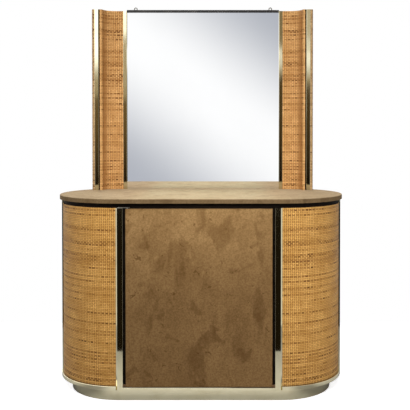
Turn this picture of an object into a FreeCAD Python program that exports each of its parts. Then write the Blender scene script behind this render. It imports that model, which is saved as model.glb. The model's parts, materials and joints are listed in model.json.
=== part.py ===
import FreeCAD, Part
import math
import os
import Sketcher

# Chiffonier on a stadium plan: a suede door between half-round rattan ends, and a mirror
# between two cove-faced rattan wings on top. Millimetres, +Z up, front faces -Y.

doc = FreeCAD.newDocument("chiffonier")
dims = doc.addObject("Spreadsheet::Sheet", "dims")

DIMENSIONS = {
    # Body plan and boards
    "half_flat": 352,
    "body_radius": 290,
    "body_height": 786,
    "floor_thick": 18,
    "lid_thick": 18,
    "jamb_thick": 24,
    "back_thick": 12,
    "shell_thick": 9,
    "skin_thick": 2.5,
    "cane_recess": 6.5,
    # Plinth
    "plinth_height": 58,
    "plinth_recess": 47,
    "plinth_wall": 28,
    "plinth_skin": 1.2,
    "plinth_skin_lift": 1,
    # Top
    "top_overhang": 8,
    "top_board_thick": 18,
    "suede_thick": 2,
    "reveal_height": 20,
    "reveal_recess": 26,
    # Brass trim on the body
    "strip_proud": 1,
    "side_strip_width": 48,
    "channel_wall": 1.5,
    "band_height": 12,
    "end_band_height": 17,
    "front_strip_width": 30,
    "reveal_reach": 14,
    "trim_gap": 1,
    # Door
    "door_gap": 12,
    "door_thick": 20,
    "door_top_gap": 4,
    "door_back_gap": 5,
    "lip_height": 10,
    "stop_width": 20,
    "stop_depth": 12,
    # Pivot hinges
    "pivot_inset": 8,
    "pin_radius": 3,
    "pin_length": 16,
    "pin_clearance": 0.05,
    "bush_wall": 2,
    "bush_length": 20,
    "plate_thick": 2.5,
    "plate_reach": 10,
    "plate_inset": 2,
    "washer_thick": 1.5,
    "washer_radius": 8,
    # Push latch
    "latch_inset": 36,
    "latch_width": 28,
    "latch_length": 60,
    "latch_height": 24,
    "latch_setback": 3,
    "plunger_radius": 5,
    "plunger_length": 42,
    "plunger_gap": 0.3,
    "spring_radius": 4,
    "spring_wall": 1,
    "spring_length": 16,
    "strike_thick": 1.5,
    "strike_width": 30,
    "strike_height": 18,
    # Shelves
    "shelf_thick": 18,
    "shelf_side_gap": 1,
    "shelf_setback": 20,
    "shelf_low_height": 244,
    "shelf_high_height": 496,
    "shelf_pin_radius": 2.5,
    "shelf_pin_depth": 10,
    "shelf_pin_reach": 8,
    "shelf_pin_inset": 60,
    # Mirror
    "mirror_half": 374,
    "mirror_setback": 53,
    "mirror_height": 882,
    "wing_drop": 6,
    "glass_thick": 4,
    "glass_lap": 5,
    "mirror_board_thick": 18,
    "mirror_trim_thick": 3,
    "mirror_trim_lip": 2,
    "mirror_trim_height": 13,
    # Wings
    "wing_width": 162.5,
    "wing_depth": 68,
    "cove_radius": 59.5,
    "wing_nose": 13.5,
    "wing_nose_round": 7,
    "wing_groove": 6,
    "wing_outer_strip": 19,
    "wing_edge": 13,
    "wing_edge_round": 8,
    "wing_inner_strip": 18,
    "wing_inner_proud": 2.5,
    "wing_back_cut_width": 95,
    "wing_back_cut_depth": 42,
    # Hanger plates
    "hanger_offset": 333,
    "hanger_thick": 2.5,
    "hanger_rise": 7,
    "hanger_drop": 50,
    "hanger_eye_radius": 9,
    "hanger_hole_radius": 4.5,
    # Brackets behind the mirror
    "bracket_offset": 200,
    "bracket_width": 30,
    "bracket_thick": 3,
    "bracket_rise": 100,
    "bracket_foot": 22,
    # Screws
    "screw_radius": 1.75,
    "screw_head_radius": 3.5,
    "screw_head_height": 1.6,
    "hinge_screw_length": 9,
    "wood_screw_length": 14,
    "back_screw_length": 26,
    "back_screw_margin": 60,
}
SHELF_NAMES = ("shelf_low", "shelf_high")
BACK_SCREW_ROWS = 5

for row, (alias, value) in enumerate(DIMENSIONS.items(), start=1):
    dims.set(f"A{row}", alias)
    dims.set(f"B{row}", str(value))
    dims.setAlias(f"B{row}", alias)
doc.recompute()

# Derived places, written as expressions on the sheet
BODY_TOP = "(dims.plinth_height + dims.body_height)"
FLOOR_TOP = "(dims.plinth_height + dims.floor_thick)"
LID_BOTTOM = f"({BODY_TOP} - dims.lid_thick)"
INNER_HEIGHT = f"({LID_BOTTOM} - {FLOOR_TOP})"
CANE_RADIUS = "(dims.body_radius - dims.cane_recess)"
BACKING_RADIUS = f"({CANE_RADIUS} - dims.skin_thick)"
BAND_BACK = "(dims.skin_thick - dims.body_radius)"
BACK_FRONT = f"({BACKING_RADIUS} - dims.back_thick)"
PLINTH_RADIUS = "(dims.body_radius - dims.plinth_recess)"
PLINTH_CORE_RADIUS = f"({PLINTH_RADIUS} - dims.plinth_skin)"
BAND_TOP = "(dims.plinth_height + dims.end_band_height)"
SKIN_BOTTOM = f"({BAND_TOP} + dims.trim_gap)"
JAMB_INNER = "(dims.half_flat - dims.jamb_thick)"
TOP_BOTTOM = f"({BODY_TOP} + dims.reveal_height)"
TOP_BOARD_TOP = f"({TOP_BOTTOM} + dims.top_board_thick)"
TABLE = f"({TOP_BOARD_TOP} + dims.suede_thick)"
TOP_RADIUS = "(dims.body_radius + dims.top_overhang)"
DOOR_HALF = f"({JAMB_INNER} - dims.door_gap)"
LIP_TOP = "(dims.plinth_height + dims.lip_height)"
LOW_PLATE_TOP = f"({LIP_TOP} + dims.plate_thick)"
DOOR_BOTTOM = f"({LOW_PLATE_TOP} + dims.washer_thick)"
DOOR_TOP = f"({BODY_TOP} - dims.door_top_gap)"
DOOR_HEIGHT = f"({DOOR_TOP} - {DOOR_BOTTOM})"
DOOR_BACK = "(dims.door_thick - dims.body_radius)"
CARCASS_FRONT = f"({DOOR_BACK} + dims.door_back_gap)"
PIVOT_X = f"(dims.pivot_inset - {DOOR_HALF})"
PIVOT_Y = "(dims.door_thick / 2 - dims.body_radius)"
BUSH_RADIUS = "(dims.pin_radius + dims.pin_clearance + dims.bush_wall)"
MIRROR_Y = f"({TOP_RADIUS} - dims.mirror_setback)"
MIRROR_BOARD_HALF = "(dims.mirror_half + dims.glass_lap)"
BOARD_FRONT = f"({MIRROR_Y} + dims.glass_thick)"
BOARD_BACK = f"({BOARD_FRONT} + dims.mirror_board_thick)"
MIRROR_TOP = f"({TABLE} + dims.mirror_height)"
WING_HEIGHT = "(dims.mirror_height - dims.wing_drop)"
WING_OUTER = "(dims.mirror_half + dims.wing_width)"
WING_FRONT = f"({MIRROR_Y} - dims.wing_depth)"
STILE_FRONT = f"({WING_FRONT} + dims.skin_thick)"
STILE_EDGE = f"({WING_OUTER} - dims.wing_edge)"
STILE_X = f"({STILE_EDGE} - dims.wing_outer_strip)"
NOSE_OUTER = f"({STILE_X} - dims.wing_groove)"
NOSE_INNER = f"({NOSE_OUTER} - dims.wing_nose)"
COVE_X = f"({NOSE_INNER} - dims.cove_radius)"
COVE_BACKING = "(dims.cove_radius + dims.skin_thick)"
COVE_FLAT = f"({WING_FRONT} + dims.cove_radius)"
INNER_STRIP_EDGE = "(dims.mirror_half + dims.wing_inner_strip)"
WING_BACK_SIDE = f"({BOARD_BACK} - dims.wing_back_cut_depth)"

UP = FreeCAD.Vector(0, 0, 1)
ALONG_X = FreeCAD.Vector(1, 0, 0)
UPRIGHT = FreeCAD.Rotation()
TO_FRONT = FreeCAD.Rotation(ALONG_X, 90)
TO_BACK = FreeCAD.Rotation(ALONG_X, -90)
DOWN = FreeCAD.Rotation(ALONG_X, 180)

nodes = []


def bind(item, expressions):
    """Tie properties of a document object to expressions on the sheet."""
    for path, expression in expressions.items():
        item.setExpression(path, expression)


def place(item, x="0", y="0", z="0", turn=UPRIGHT):
    """Put an object at sheet expressions, turned by a fixed rotation."""
    item.Placement = FreeCAD.Placement(FreeCAD.Vector(), turn)
    bind(item, {"Placement.Base.x": x, "Placement.Base.y": y, "Placement.Base.z": z})
    return item


def node(item, label):
    """Name an object as one sub-part of the chiffonier."""
    item.Label = label
    nodes.append(item)
    return item


def block(name, low, size):
    """A box from its low corner and its three sizes."""
    item = doc.addObject("Part::Box", name)
    bind(item, dict(zip(("Length", "Width", "Height"), size)))
    return place(item, *low)


def rod(name, centre, radius, length, turn=UPRIGHT, sweep="360 deg"):
    """A cylinder, or a sector of one, that starts at its centre point and runs along its turn."""
    item = doc.addObject("Part::Cylinder", name)
    bind(item, {"Radius": radius, "Height": length, "Angle": sweep})
    return place(item, *centre, turn=turn)


def cone(name, centre, low_radius, high_radius, length, turn=UPRIGHT):
    """A cone frustum that starts at its centre point."""
    item = doc.addObject("Part::Cone", name)
    bind(item, {"Radius1": low_radius, "Radius2": high_radius, "Height": length})
    return place(item, *centre, turn=turn)


def cut(name, base, tool):
    """What is left of base once tool is taken out of it."""
    item = doc.addObject("Part::Cut", name)
    item.Base = base
    item.Tool = tool
    item.Refine = True
    return item


def fuse(name, *pieces):
    """One solid from several that meet."""
    item = doc.addObject("Part::MultiFuse", name)
    item.Shapes = list(pieces)
    item.Refine = True
    return item


def group(name, pieces):
    """Several separate solids kept together."""
    item = doc.addObject("Part::Compound", name)
    item.Links = list(pieces)
    return item


def mirrored(source, label):
    """The left-hand twin of a right-hand sub-part."""
    item = doc.addObject("Part::Mirroring", label)
    item.Source = source
    item.Base = FreeCAD.Vector()
    item.Normal = ALONG_X
    return node(item, label)


def plane_of(body):
    """The horizontal origin plane of a body."""
    return next(item for item in body.Origin.OriginFeatures if item.Role == "XY_Plane")


def add_stadium(sketch, tag, radius, flat_half):
    """Add a stadium outline to a sketch: two flats joined by half circles."""
    first = sketch.GeometryCount
    flat, right, far, left = range(first, first + 4)
    half = float(DIMENSIONS["half_flat"])
    size = float(DIMENSIONS["body_radius"])
    corner = FreeCAD.Vector(half, size, 0)
    ends = [FreeCAD.Vector(sign * half, 0, 0) for sign in (1, -1)]
    circles = [Part.Circle(end, UP, size) for end in ends]
    sketch.addGeometry(Part.LineSegment(FreeCAD.Vector(-half, -size, 0), FreeCAD.Vector(half, -size, 0)))
    sketch.addGeometry(Part.ArcOfCircle(circles[0], -math.pi / 2, math.pi / 2))
    sketch.addGeometry(Part.LineSegment(corner, FreeCAD.Vector(-half, size, 0)))
    sketch.addGeometry(Part.ArcOfCircle(circles[1], math.pi / 2, 3 * math.pi / 2))
    for before, after in ((flat, right), (right, far), (far, left), (left, flat)):
        sketch.addConstraint(Sketcher.Constraint("Tangent", before, 2, after, 1))
    sketch.addConstraint(Sketcher.Constraint("Equal", right, left))
    sketch.addConstraint(Sketcher.Constraint("Symmetric", right, 3, left, 3, -1, 1))
    sketch.addConstraint(Sketcher.Constraint("PointOnObject", right, 3, -1))
    for label, expression, constraint in (
        ("flat", flat_half, Sketcher.Constraint("DistanceX", -1, 1, right, 3, half)),
        ("radius", radius, Sketcher.Constraint("Radius", right, size)),
    ):
        index = sketch.addConstraint(constraint)
        sketch.renameConstraint(index, f"{tag}_{label}")
        sketch.setExpression(f"Constraints.{tag}_{label}", expression)


def stadium(name, radius, bottom, height, inner=None, flat_half="dims.half_flat"):
    """A stadium-shaped board, or a ring of that shape where an inner radius is given."""
    body = doc.addObject("PartDesign::Body", name)
    sketch = body.newObject("Sketcher::SketchObject", f"{name}_outline")
    sketch.AttachmentSupport = [(plane_of(body), "")]
    sketch.MapMode = "FlatFace"
    add_stadium(sketch, "outer", radius, flat_half)
    if inner:
        add_stadium(sketch, "inner", inner, flat_half)
    pad = body.newObject("PartDesign::Pad", f"{name}_pad")
    pad.Profile = sketch
    bind(pad, {"Length": height})
    return place(body, z=bottom)


def prism(name, corners, bottom, height):
    """An upright prism on straight sides, each corner a pair of sheet expressions."""
    body = doc.addObject("PartDesign::Body", name)
    sketch = body.newObject("Sketcher::SketchObject", f"{name}_outline")
    sketch.AttachmentSupport = [(plane_of(body), "")]
    sketch.MapMode = "FlatFace"
    points = [FreeCAD.Vector(read(x), read(y), 0) for x, y in corners]
    for start, end in zip(points, points[1:] + points[:1]):
        sketch.addGeometry(Part.LineSegment(start, end))
    for index in range(len(points)):
        following = (index + 1) % len(points)
        sketch.addConstraint(Sketcher.Constraint("Coincident", index, 2, following, 1))
    for index, (point, corner) in enumerate(zip(points, corners)):
        for axis, value, expression in (("X", point.x, corner[0]), ("Y", point.y, corner[1])):
            added = sketch.addConstraint(Sketcher.Constraint(f"Distance{axis}", -1, 1, index, 1, value))
            sketch.renameConstraint(added, f"corner_{index}_{axis}")
            sketch.setExpression(f"Constraints.corner_{index}_{axis}", expression)
    pad = body.newObject("PartDesign::Pad", f"{name}_pad")
    pad.Profile = sketch
    bind(pad, {"Length": height})
    return place(body, z=bottom)


def read(expression):
    """The number that a sheet expression stands for now."""
    return float(dims.evalExpression(expression))


def rounded(name, base, corner, radius):
    """Round the upright edge of a solid at a corner given by two sheet expressions."""
    doc.recompute()
    spot = FreeCAD.Vector(read(corner[0]), read(corner[1]), 0)
    picked = []
    for index, edge in enumerate(base.Shape.Edges, start=1):
        flat = [FreeCAD.Vector(vertex.X, vertex.Y, 0) for vertex in edge.Vertexes]
        if all(point.isEqual(spot, 1e-4) for point in flat):
            picked.append((index, read(radius), read(radius)))
    item = doc.addObject("Part::Fillet", name)
    item.Base = base
    item.Edges = picked
    return item


def arc_skin(name, centre, radii, start, sweep, bottom, height):
    """A curved sheet between two radii, from a start angle in degrees over a swept angle."""
    turn = FreeCAD.Rotation(UP, start)
    wall = [
        rod(f"{name}_{side}", (centre[0], centre[1], bottom), radius, height, turn, sweep)
        for side, radius in zip(("bore", "face"), radii)
    ]
    return cut(name, wall[1], wall[0])


# Plinth, carcass boards and top

def make_plinth():
    """The plinth frame and its brass facing, which ends just above the floor."""
    inner = f"({PLINTH_CORE_RADIUS} - dims.plinth_wall)"
    frame = stadium("plinth_frame", PLINTH_CORE_RADIUS, "0", "dims.plinth_height", inner)
    node(frame, "plinth_frame")
    height = "dims.plinth_height - dims.plinth_skin_lift"
    facing = stadium("plinth_brass", PLINTH_RADIUS, "dims.plinth_skin_lift", height, PLINTH_CORE_RADIUS)
    node(facing, "plinth_brass")


def make_carcass(hinge_drill_low, hinge_drill_high, pin_drill, back_drill):
    """Floor with a lip under the door, lid notched for the door, jambs, stops, back and end shells."""
    front_run = f"{CARCASS_FRONT} + dims.body_radius"
    wide = f"2 * {JAMB_INNER}"
    floor_blank = stadium("floor_blank", BACKING_RADIUS, "dims.plinth_height", "dims.floor_thick")
    rebate_low = (f"-{JAMB_INNER}", "-dims.body_radius", LIP_TOP)
    rebate = block("floor_rebate", rebate_low, (wide, front_run, "dims.floor_thick"))
    rail_depth = f"{CARCASS_FRONT} - {BAND_BACK}"
    rail_low = (f"-{JAMB_INNER}", BAND_BACK, "dims.plinth_height")
    rail = block("floor_rail", rail_low, (wide, rail_depth, "dims.lip_height"))
    floor_cut = fuse("floor_railed", cut("floor_rebated", floor_blank, rebate), rail)
    node(cut("carcass_floor", floor_cut, hinge_drill_low), "carcass_floor")

    lid_blank = stadium("lid_blank", BACKING_RADIUS, LID_BOTTOM, "dims.lid_thick")
    notch_low = (f"-{JAMB_INNER}", "-dims.body_radius", LID_BOTTOM)
    notch = block("lid_notch", notch_low, (wide, front_run, "dims.lid_thick"))
    lid_cut = cut("lid_notched", lid_blank, notch)
    node(cut("carcass_lid", lid_cut, hinge_drill_high), "carcass_lid")

    jamb_low = (JAMB_INNER, f"-{BACKING_RADIUS}", FLOOR_TOP)
    jamb_depth = f"{BACKING_RADIUS} + {BACK_FRONT}"
    jamb_blank = block("jamb_blank", jamb_low, ("dims.jamb_thick", jamb_depth, INNER_HEIGHT))
    jamb = cut("jamb_right", cut("jamb_drilled", jamb_blank, pin_drill), back_drill)
    node(jamb, "jamb_right")
    mirrored(jamb, "jamb_left")
    stop = block(
        "door_stop_right",
        (f"{JAMB_INNER} - dims.stop_width", CARCASS_FRONT, FLOOR_TOP),
        ("dims.stop_width", "dims.stop_depth", INNER_HEIGHT),
    )
    node(stop, "door_stop_right")
    mirrored(stop, "door_stop_left")

    back_low = ("-dims.half_flat", BACK_FRONT, FLOOR_TOP)
    back_blank = block("back_blank", back_low, ("2 * dims.half_flat", "dims.back_thick", INNER_HEIGHT))
    node(cut("back_panel", back_blank, back_drill), "back_panel")

    radii = (f"{BACKING_RADIUS} - dims.shell_thick", BACKING_RADIUS)
    axis = ("dims.half_flat", "0")
    shell = arc_skin("end_shell_right", axis, radii, -90, "180 deg", FLOOR_TOP, INNER_HEIGHT)
    node(shell, "end_shell_right")
    mirrored(shell, "end_shell_left")


def make_top(bracket_drill):
    """The dark spacer board, the top board and its suede covering."""
    reveal_radius = "dims.body_radius - dims.reveal_recess"
    reveal_flat = "dims.half_flat + dims.reveal_reach"
    reveal = stadium("reveal_board", reveal_radius, BODY_TOP, "dims.reveal_height", flat_half=reveal_flat)
    node(reveal, "reveal_board")
    board_radius = f"{TOP_RADIUS} - dims.suede_thick"
    board_blank = stadium("top_board_blank", board_radius, TOP_BOTTOM, "dims.top_board_thick")
    node(cut("top_board", board_blank, bracket_drill), "top_board")
    cover_height = "dims.top_board_thick + dims.suede_thick"
    cover_blank = stadium("top_cover_blank", TOP_RADIUS, TOP_BOTTOM, cover_height)
    cover = cut("top_cover", cover_blank, board_blank)
    node(cut("top_suede", cover, bracket_drill), "top_suede")


# Cane panels and brass on the body

def make_body_dress():
    """Rattan panels on the round ends, brass strips and the brass band at the foot."""
    face = ("dims.half_flat", "0")
    half_strip = "(dims.side_strip_width / 2 / dims.body_radius * 180 / pi * 1 deg)"
    sweep = f"90 deg - {half_strip}"
    half_angle = math.degrees(read("dims.side_strip_width / 2 / dims.body_radius"))
    skin_height = f"{BODY_TOP} - {SKIN_BOTTOM}"
    skin_radii = (BACKING_RADIUS, CANE_RADIUS)
    brass_radii = (BACKING_RADIUS, "dims.body_radius + dims.strip_proud")
    lap = f"((dims.front_strip_width - dims.jamb_thick) / {BACKING_RADIUS} * 180 / pi * 1 deg)"
    lap_angle = math.degrees(read(f"(dims.front_strip_width - dims.jamb_thick) / {BACKING_RADIUS}"))
    for side, start, run in (("front", lap_angle - 90, f"{sweep} - {lap}"), ("back", half_angle, sweep)):
        label = f"rattan_{side}_right"
        skin = arc_skin(label, face, skin_radii, start, run, SKIN_BOTTOM, skin_height)
        node(skin, label)
        mirrored(skin, f"rattan_{side}_left")

    strip_sweep = f"2 * {half_strip}"
    strip_height = f"{TOP_BOTTOM} - {BAND_TOP}"
    side_blank = arc_skin(
        "strip_side_blank", face, brass_radii, -half_angle, strip_sweep, BAND_TOP, strip_height
    )
    hollow_radii = (BACKING_RADIUS, "dims.body_radius + dims.strip_proud - dims.channel_wall")
    wall_angle = "(dims.channel_wall / dims.body_radius * 180 / pi * 1 deg)"
    hollow_start = math.degrees(read("dims.channel_wall / dims.body_radius")) - half_angle
    hollow_sweep = f"{strip_sweep} - 2 * {wall_angle}"
    side_hollow = arc_skin(
        "strip_side_hollow", face, hollow_radii, hollow_start, hollow_sweep, BAND_TOP, strip_height
    )
    side_strip = cut("strip_side_right", side_blank, side_hollow)
    node(side_strip, "strip_side_right")
    mirrored(side_strip, "strip_side_left")

    brass_thick = "dims.skin_thick + dims.strip_proud"
    front = "-dims.body_radius - dims.strip_proud"
    channel_back = f"(-{BACKING_RADIUS})"
    front_blank = block(
        "strip_front_blank",
        (JAMB_INNER, front, "dims.plinth_height"),
        ("dims.front_strip_width", f"{channel_back} - ({front})", "dims.body_height"),
    )
    front_hollow = block(
        "strip_front_hollow",
        (f"{JAMB_INNER} + dims.channel_wall", f"{front} + dims.channel_wall", "dims.plinth_height"),
        (
            "dims.front_strip_width - 2 * dims.channel_wall",
            f"{channel_back} - ({front}) - dims.channel_wall",
            "dims.body_height",
        ),
    )
    front_strip = cut("strip_front_right", front_blank, front_hollow)
    node(front_strip, "strip_front_right")
    mirrored(front_strip, "strip_front_left")

    band_sweep = f"180 deg - {lap}"
    band_rise = ("dims.plinth_height", "dims.end_band_height")
    band = arc_skin("band_end_right", face, brass_radii, lap_angle - 90, band_sweep, *band_rise)
    node(band, "band_end_right")
    mirrored(band, "band_end_left")
    front_band = block(
        "band_front",
        (f"-{JAMB_INNER}", front, "dims.plinth_height"),
        (f"2 * {JAMB_INNER}", brass_thick, "dims.band_height"),
    )
    node(front_band, "band_front")


# Door and its pivots

def make_door():
    """The door core, its suede covering and the two bushes let into its edges."""
    bush_low = rod("bush_low_seat", (PIVOT_X, PIVOT_Y, DOOR_BOTTOM), BUSH_RADIUS, "dims.bush_length")
    bush_top_z = f"{DOOR_TOP} - dims.bush_length"
    bush_high = rod("bush_high_seat", (PIVOT_X, PIVOT_Y, bush_top_z), BUSH_RADIUS, "dims.bush_length")
    seats = group("bush_seats", (bush_low, bush_high))

    low = (f"-{DOOR_HALF}", "-dims.body_radius", DOOR_BOTTOM)
    outer = block("door_outer", low, (f"2 * {DOOR_HALF}", "dims.door_thick", DOOR_HEIGHT))
    core_low = (
        f"dims.suede_thick - {DOOR_HALF}",
        "dims.suede_thick - dims.body_radius",
        f"{DOOR_BOTTOM} + dims.suede_thick",
    )
    core_size = (
        f"2 * {DOOR_HALF} - 2 * dims.suede_thick",
        "dims.door_thick - dims.suede_thick",
        f"{DOOR_HEIGHT} - 2 * dims.suede_thick",
    )
    core_blank = block("door_core_blank", core_low, core_size)
    node(cut("door_core", core_blank, seats), "door_core")
    node(cut("door_suede", cut("door_cover", outer, core_blank), seats), "door_suede")

    bore_radius = "dims.pin_radius + dims.pin_clearance"
    for label, seat in (("door_bush_bottom", bush_low), ("door_bush_top", bush_high)):
        z = DOOR_BOTTOM if seat is bush_low else bush_top_z
        bore = rod(f"{label}_bore", (PIVOT_X, PIVOT_Y, z), bore_radius, "dims.bush_length")
        node(cut(label, seat, bore), label)


def hinge_screws(name, spots, top, turn):
    """Countersunk screws whose heads finish flush with a hinge plate's outer face."""
    screws = []
    for index, (x, y) in enumerate(spots):
        head = cone(
            f"{name}_head_{index}", (x, y, top), "dims.screw_head_radius", "dims.screw_radius",
            "dims.plate_thick", turn,
        )
        length = "dims.plate_thick + dims.hinge_screw_length"
        shank = rod(f"{name}_shank_{index}", (x, y, top), "dims.screw_radius", length, turn)
        screws.append(fuse(f"{name}_{index}", head, shank))
    return screws


def make_hinge_screws():
    """Two screws for each pivot plate, as one list for the lower and one for the upper plate."""
    screw_y = PIVOT_Y
    apart = "(dims.washer_radius + dims.screw_head_radius)"
    low_spots = [(f"{PIVOT_X} + {apart}", screw_y), (f"{PIVOT_X} - {apart}", screw_y)]
    low = hinge_screws("hinge_screw_low", low_spots, LOW_PLATE_TOP, DOWN)
    high_x = f"-{JAMB_INNER} - dims.jamb_thick / 2"
    high_y = f"{PIVOT_Y} + dims.door_thick / 4"
    spread = "dims.jamb_thick / 4"
    high_spots = [(f"{high_x} {sign} {spread}", high_y) for sign in ("-", "+")]
    high = hinge_screws("hinge_screw_high", high_spots, f"{BODY_TOP} + dims.plate_thick", DOWN)
    node(group("hinge_screws", low + high), "hinge_screws")
    return group("hinge_drill_low", low), group("hinge_drill_high", high)


def make_pivots(drill_low, drill_high):
    """The pivot plates with their pins, and the washer that carries the door."""
    depth = "dims.door_thick - 2 * dims.plate_inset"
    front = "dims.plate_inset - dims.body_radius + dims.skin_thick"
    reach = f"{PIVOT_X} + dims.washer_radius + 2 * dims.screw_head_radius + dims.plate_inset"
    low_x = f"-{JAMB_INNER}"
    low_plate = block(
        "pivot_low_plate", (low_x, front, LIP_TOP), (f"{reach} + {JAMB_INNER}", depth, "dims.plate_thick")
    )
    pin_rise = "dims.washer_thick + dims.pin_length"
    low_pin = rod("pivot_low_pin", (PIVOT_X, PIVOT_Y, LOW_PLATE_TOP), "dims.pin_radius", pin_rise)
    low = cut("pivot_bottom", fuse("pivot_low_blank", low_plate, low_pin), drill_low)
    node(low, "pivot_bottom")

    washer_seat = (PIVOT_X, PIVOT_Y, LOW_PLATE_TOP)
    washer_blank = rod("washer_blank", washer_seat, "dims.washer_radius", "dims.washer_thick")
    washer_bore = rod("washer_bore", washer_seat, "dims.pin_radius", "dims.washer_thick")
    node(cut("thrust_washer", washer_blank, washer_bore), "thrust_washer")

    high_x = "dims.plate_inset - dims.half_flat"
    high_length = f"{PIVOT_X} + dims.plate_reach + dims.half_flat - dims.plate_inset"
    high_plate = block(
        "pivot_high_plate", (high_x, front, BODY_TOP), (high_length, depth, "dims.plate_thick")
    )
    drop = "dims.door_top_gap + dims.pin_length"
    high_pin = rod("pivot_high_pin", (PIVOT_X, PIVOT_Y, BODY_TOP), "dims.pin_radius", drop, DOWN)
    high = cut("pivot_top", fuse("pivot_high_blank", high_plate, high_pin), drill_high)
    node(high, "pivot_top")


def make_latch():
    """The push latch under the lid: housing, spring-loaded plunger, spring and strike plate."""
    latch_x = f"({DOOR_HALF} - dims.latch_inset)"
    axis_z = f"({LID_BOTTOM} - dims.latch_height / 2)"
    housing_front = f"({CARCASS_FRONT} + dims.latch_setback)"
    strike_back = f"({DOOR_BACK} + dims.strike_thick)"
    tip = f"({strike_back} + dims.plunger_gap)"
    plunger_back = f"({tip} + dims.plunger_length)"
    case = block(
        "latch_case",
        (f"{latch_x} - dims.latch_width / 2", housing_front, f"{LID_BOTTOM} - dims.latch_height"),
        ("dims.latch_width", "dims.latch_length", "dims.latch_height"),
    )
    bore_length = f"{plunger_back} + dims.spring_length - {housing_front}"
    bore = rod(
        "latch_bore", (latch_x, housing_front, axis_z), "dims.plunger_radius + dims.pin_clearance",
        bore_length, TO_BACK,
    )
    node(cut("latch_housing", case, bore), "latch_housing")
    plunger = rod(
        "latch_plunger", (latch_x, tip, axis_z), "dims.plunger_radius", "dims.plunger_length", TO_BACK
    )
    node(plunger, "latch_plunger")
    spring_at = (latch_x, plunger_back, axis_z)
    coil = rod("spring_outer", spring_at, "dims.spring_radius", "dims.spring_length", TO_BACK)
    hollow = rod(
        "spring_hollow", spring_at, "dims.spring_radius - dims.spring_wall", "dims.spring_length", TO_BACK
    )
    node(cut("latch_spring", coil, hollow), "latch_spring")
    strike = block(
        "strike_plate",
        (f"{latch_x} - dims.strike_width / 2", DOOR_BACK, f"{axis_z} - dims.strike_height / 2"),
        ("dims.strike_width", "dims.strike_thick", "dims.strike_height"),
    )
    node(strike, "strike_plate")


# Shelves

def make_shelves():
    """Two loose shelves on pins; returns the right-hand pins as drills for the jamb."""
    half = f"({JAMB_INNER} - dims.shelf_side_gap)"
    front = f"({CARCASS_FRONT} + dims.shelf_setback)"
    back = f"({BACK_FRONT} - dims.shelf_side_gap)"
    rows = {"front": f"{front} + dims.shelf_pin_inset", "back": f"{back} - dims.shelf_pin_inset"}
    length = "dims.shelf_pin_depth + dims.shelf_pin_reach"
    right_pins = []
    left_pins = []
    for label in SHELF_NAMES:
        bottom = f"({FLOOR_TOP} + dims.{label}_height)"
        size = (f"2 * {half}", f"{back} - {front}", "dims.shelf_thick")
        node(block(label, (f"-{half}", front, bottom), size), label)
        for end, y in rows.items():
            name = f"{label}_pin_{end}"
            turn = FreeCAD.Rotation(FreeCAD.Vector(0, 1, 0), 90)
            start = (f"{JAMB_INNER} - dims.shelf_pin_reach", y, f"{bottom} - dims.shelf_pin_radius")
            pin = rod(f"{name}_right", start, "dims.shelf_pin_radius", length, turn)
            left_start = (f"-{JAMB_INNER} - dims.shelf_pin_depth", y, start[2])
            left_pins.append(rod(f"{name}_left", left_start, "dims.shelf_pin_radius", length, turn))
            right_pins.append(pin)
    node(group("shelf_pins", right_pins + left_pins), "shelf_pins")
    return group("shelf_pin_drill", right_pins)


# Mirror and wings

def make_mirror(hanger_drill, bracket_drill):
    """The mirror glass, the board behind it and the dark trim along the upper edge."""
    board_height = "dims.mirror_height - dims.mirror_trim_thick"
    wide = f"2 * {MIRROR_BOARD_HALF}"
    glass = block(
        "mirror_glass", (f"-{MIRROR_BOARD_HALF}", MIRROR_Y, TABLE), (wide, "dims.glass_thick", board_height)
    )
    node(glass, "mirror_glass")
    board_blank = block(
        "mirror_board_blank", (f"-{MIRROR_BOARD_HALF}", BOARD_FRONT, TABLE),
        (wide, "dims.mirror_board_thick", board_height),
    )
    board_cut = cut("mirror_board_drilled", board_blank, hanger_drill)
    node(cut("mirror_board", board_cut, bracket_drill), "mirror_board")
    trim_depth = f"{BOARD_BACK} - {MIRROR_Y} + dims.mirror_trim_lip"
    trim_bottom = f"{MIRROR_TOP} - dims.mirror_trim_height"
    trim_blank = block(
        "trim_blank",
        ("-dims.mirror_half", f"{MIRROR_Y} - dims.mirror_trim_lip", trim_bottom),
        ("2 * dims.mirror_half", trim_depth, "dims.mirror_trim_height"),
    )
    hollow = block(
        "trim_hollow",
        ("-dims.mirror_half", MIRROR_Y, trim_bottom),
        (
            "2 * dims.mirror_half",
            f"{BOARD_BACK} - {MIRROR_Y}",
            "dims.mirror_trim_height - dims.mirror_trim_thick",
        ),
    )
    node(cut("mirror_trim", trim_blank, hollow), "mirror_trim")


def cove_hollow(name, radius, flat):
    """The hollow in front of a wing: a quarter round that runs out flat towards the mirror."""
    height = "dims.mirror_height"
    bowl = rod(f"{name}_bowl", (COVE_X, WING_FRONT, TABLE), radius, height)
    run = block(
        f"{name}_run",
        (INNER_STRIP_EDGE, WING_FRONT, TABLE),
        (f"{COVE_X} - {INNER_STRIP_EDGE}", f"{flat} - {WING_FRONT}", height),
    )
    land = block(
        f"{name}_land",
        ("dims.mirror_half", WING_FRONT, TABLE),
        ("dims.wing_inner_strip", "dims.wing_depth", height),
    )
    return fuse(name, bowl, run, land)


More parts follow.
